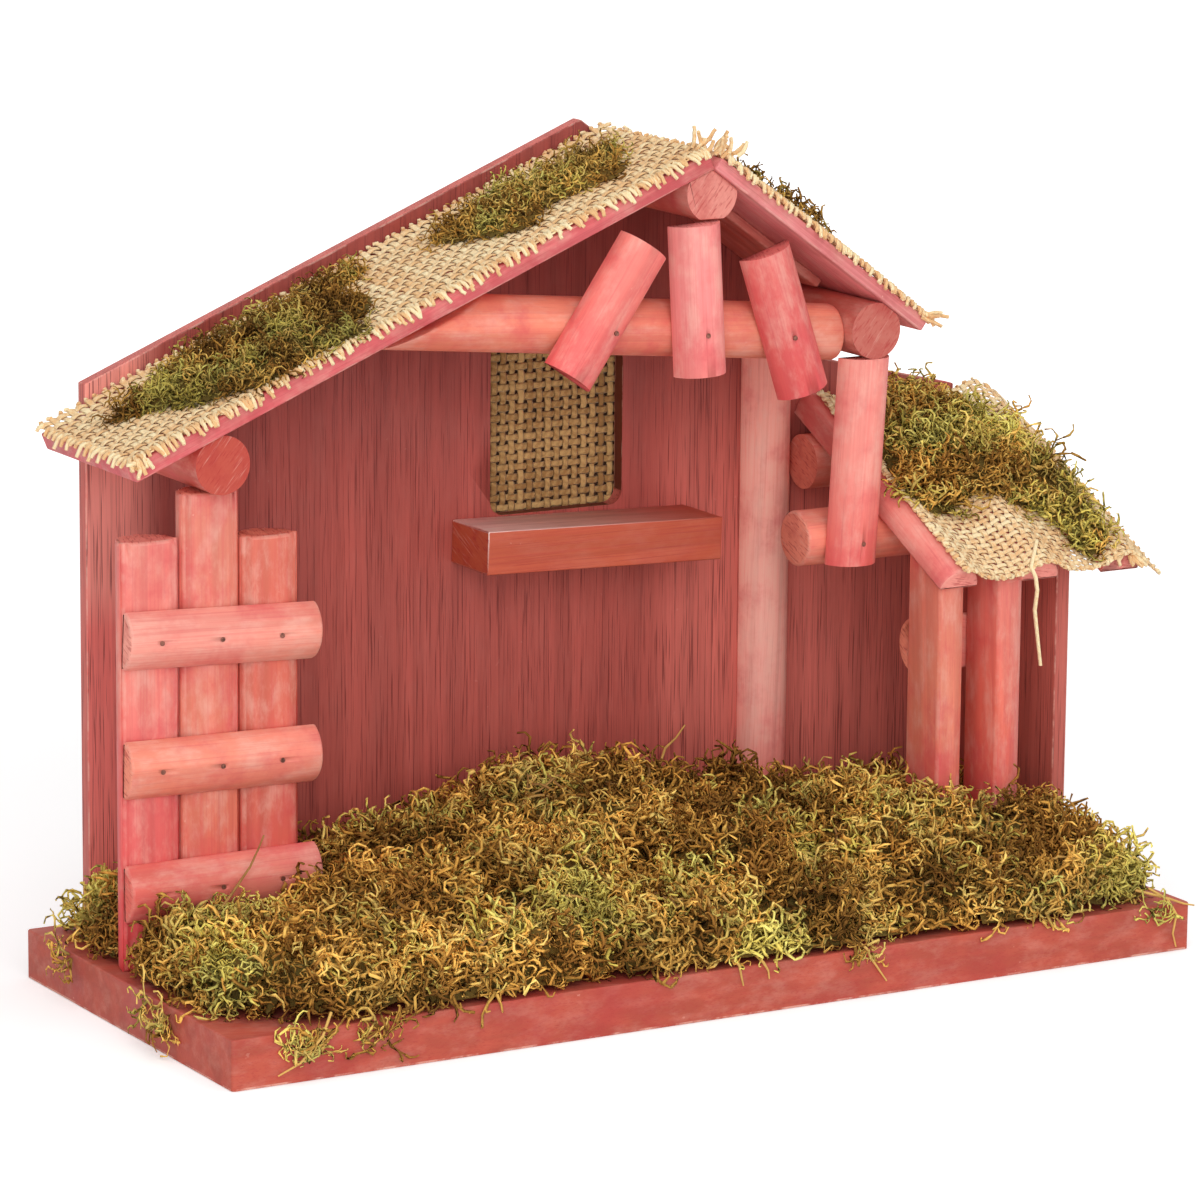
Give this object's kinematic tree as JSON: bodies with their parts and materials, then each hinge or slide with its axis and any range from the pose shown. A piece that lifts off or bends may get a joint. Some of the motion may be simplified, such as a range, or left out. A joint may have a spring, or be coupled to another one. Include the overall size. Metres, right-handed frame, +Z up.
{
  "type": "nativity stable",
  "caption": "Free-standing wooden nativity stable: gabled board roof and lean-to on logs, log fence, back wall with a window and shelf, burlap roof covers and a moss bed.",
  "frame": {"origin": "centre of the base board's underside", "axes": "+X to the right along the base board, +Y from the open front to the back wall, +Z up"},
  "size_m": [0.3467, 0.1418, 0.2522],
  "materials": {
    "base_wood": "matte",
    "wall_wood": "matte",
    "roof_wood": "matte",
    "shelf_wood": "matte",
    "log_wood": "matte",
    "roof_burlap": "matte",
    "window_cloth": "matte",
    "moss": "matte",
    "nail_steel": "satin"
  },
  "bodies": {
    "root": {"base_board": "base_wood", "back_wall": "wall_wood", "lean_to_side_wall": "wall_wood", "left_roof_board": "roof_wood", "right_roof_board": "roof_wood", "right_roof_batten": "roof_wood", "window_shelf": "shelf_wood", "left_eave_log": "log_wood", "right_eave_log": "log_wood", "ridge_log": "log_wood", "tie_beam": "log_wood", "gable_log_left": "log_wood", "gable_log_middle": "log_wood", "gable_log_right": "log_wood", "fence_post_left": "log_wood", "fence_post_middle": "log_wood", "fence_post_right": "log_wood", "fence_rail_top": "log_wood", "fence_rail_middle": "log_wood", "fence_rail_bottom": "log_wood", "wall_post": "log_wood", "lean_to_log_front": "log_wood", "lean_to_log_back": "log_wood", "hanging_post": "log_wood", "lean_to_post_left": "log_wood", "lean_to_post_right": "log_wood", "lean_to_rail": "log_wood", "lean_to_slat_left": "log_wood", "lean_to_slat_middle": "log_wood", "lean_to_slat_right": "log_wood", "left_roof_burlap": "roof_burlap", "right_roof_burlap": "roof_burlap", "lean_to_burlap": "roof_burlap", "window_burlap": "window_cloth", "moss_bed": "moss", "left_eave_moss": "moss", "left_ridge_moss": "moss", "right_roof_moss": "moss", "lean_to_moss": "moss", "gable_nails": "nail_steel", "fence_nails": "nail_steel", "hanging_post_nail": "nail_steel"}
  },
  "joints": []
}
